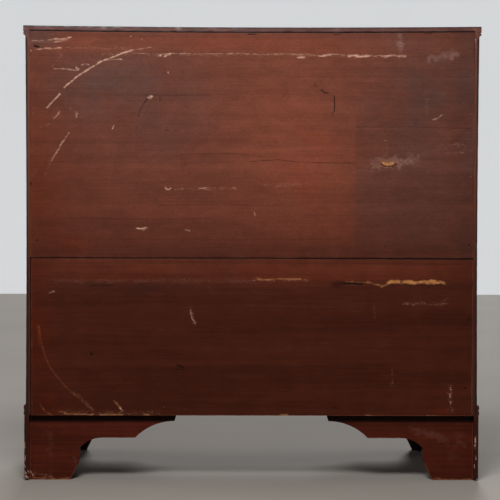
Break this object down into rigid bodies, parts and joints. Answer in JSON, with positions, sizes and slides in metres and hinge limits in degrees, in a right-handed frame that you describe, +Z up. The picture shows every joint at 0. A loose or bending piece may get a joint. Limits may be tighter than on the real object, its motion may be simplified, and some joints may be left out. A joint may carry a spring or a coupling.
{
  "type": "chest of drawers",
  "caption": "Floor-standing wooden chest of graduated long drawers on scroll-cut bracket feet, with a moulded top, a nailed board back and swinging brass bail pulls.",
  "frame": {"origin": "on the floor, under the middle of the overall width and depth", "axes": "+Z up, the drawers open towards -Y, the nailed back faces +Y, +X runs along the width"},
  "size_m": [0.9656, 0.5006, 0.962],
  "materials": {
    "outer_wood": "stained red-brown and waxed, worn pale at the edges",
    "back_wood": "planed boards with a red-brown wash, scratched and rubbed",
    "inner_wood": "bare, aged secondary wood",
    "brass": "old cast brass, rubbed bright where it is held",
    "nail_iron": "dark rusted cut nails"
  },
  "bodies": {
    "case": {"top_board": "outer_wood", "case_side_left": "outer_wood", "case_side_right": "outer_wood", "case_bottom": "inner_wood", "top_rails": "inner_wood", "drawer_rails": "outer_wood", "drawer_runners": "inner_wood", "drawer_stops": "inner_wood", "back_board_upper": "back_wood", "back_board_lower": "back_wood", "back_nails": "nail_iron", "base_moulding_front": "outer_wood", "base_moulding_left": "outer_wood", "base_moulding_right": "outer_wood", "foot_corner_blocks": "inner_wood", "foot_front_left_face": "outer_wood", "foot_front_left_side": "outer_wood", "foot_front_right_face": "outer_wood", "foot_front_right_side": "outer_wood", "foot_rear_left_side": "outer_wood", "foot_rear_left_back": "back_wood", "foot_rear_right_side": "outer_wood", "foot_rear_right_back": "back_wood"},
    "drawer_1": {"drawer_1_front": "outer_wood", "drawer_1_side_left": "inner_wood", "drawer_1_side_right": "inner_wood", "drawer_1_back": "inner_wood", "drawer_1_bottom": "inner_wood", "drawer_1_cock_beads": "outer_wood", "drawer_1_pull_posts": "brass"},
    "bail_1_left": {"drawer_1_bail_left": "brass"},
    "bail_1_right": {"drawer_1_bail_right": "brass"},
    "drawer_2": {"drawer_2_front": "outer_wood", "drawer_2_side_left": "inner_wood", "drawer_2_side_right": "inner_wood", "drawer_2_back": "inner_wood", "drawer_2_bottom": "inner_wood", "drawer_2_cock_beads": "outer_wood", "drawer_2_pull_posts": "brass"},
    "bail_2_left": {"drawer_2_bail_left": "brass"},
    "bail_2_right": {"drawer_2_bail_right": "brass"},
    "drawer_3": {"drawer_3_front": "outer_wood", "drawer_3_side_left": "inner_wood", "drawer_3_side_right": "inner_wood", "drawer_3_back": "inner_wood", "drawer_3_bottom": "inner_wood", "drawer_3_cock_beads": "outer_wood", "drawer_3_pull_posts": "brass"},
    "bail_3_left": {"drawer_3_bail_left": "brass"},
    "bail_3_right": {"drawer_3_bail_right": "brass"},
    "drawer_4": {"drawer_4_front": "outer_wood", "drawer_4_side_left": "inner_wood", "drawer_4_side_right": "inner_wood", "drawer_4_back": "inner_wood", "drawer_4_bottom": "inner_wood", "drawer_4_cock_beads": "outer_wood", "drawer_4_pull_posts": "brass"},
    "bail_4_left": {"drawer_4_bail_left": "brass"},
    "bail_4_right": {"drawer_4_bail_right": "brass"}
  },
  "joints": [
    {"name": "drawer_1_slide", "type": "slide", "parent": "case", "child": "drawer_1", "axis": [0, -1, 0], "range_m": [0, 0.36]},
    {"name": "bail_1_left_swing", "type": "hinge", "parent": "drawer_1", "child": "bail_1_left", "pos_m": [-0.26, -0.24475, 0.8558], "axis": [-1, 0, 0], "range_deg": [-12, 100]},
    {"name": "bail_1_right_swing", "type": "hinge", "parent": "drawer_1", "child": "bail_1_right", "pos_m": [0.26, -0.24475, 0.8558], "axis": [-1, 0, 0], "range_deg": [-12, 100]},
    {"name": "drawer_2_slide", "type": "slide", "parent": "case", "child": "drawer_2", "axis": [0, -1, 0], "range_m": [0, 0.36]},
    {"name": "bail_2_left_swing", "type": "hinge", "parent": "drawer_2", "child": "bail_2_left", "pos_m": [-0.26, -0.24475, 0.6828], "axis": [-1, 0, 0], "range_deg": [-12, 100]},
    {"name": "bail_2_right_swing", "type": "hinge", "parent": "drawer_2", "child": "bail_2_right", "pos_m": [0.26, -0.24475, 0.6828], "axis": [-1, 0, 0], "range_deg": [-12, 100]},
    {"name": "drawer_3_slide", "type": "slide", "parent": "case", "child": "drawer_3", "axis": [0, -1, 0], "range_m": [0, 0.36]},
    {"name": "bail_3_left_swing", "type": "hinge", "parent": "drawer_3", "child": "bail_3_left", "pos_m": [-0.26, -0.24475, 0.4898], "axis": [-1, 0, 0], "range_deg": [-12, 100]},
    {"name": "bail_3_right_swing", "type": "hinge", "parent": "drawer_3", "child": "bail_3_right", "pos_m": [0.26, -0.24475, 0.4898], "axis": [-1, 0, 0], "range_deg": [-12, 100]},
    {"name": "drawer_4_slide", "type": "slide", "parent": "case", "child": "drawer_4", "axis": [0, -1, 0], "range_m": [0, 0.36]},
    {"name": "bail_4_left_swing", "type": "hinge", "parent": "drawer_4", "child": "bail_4_left", "pos_m": [-0.26, -0.24475, 0.2768], "axis": [-1, 0, 0], "range_deg": [-12, 100]},
    {"name": "bail_4_right_swing", "type": "hinge", "parent": "drawer_4", "child": "bail_4_right", "pos_m": [0.26, -0.24475, 0.2768], "axis": [-1, 0, 0], "range_deg": [-12, 100]}
  ]
}
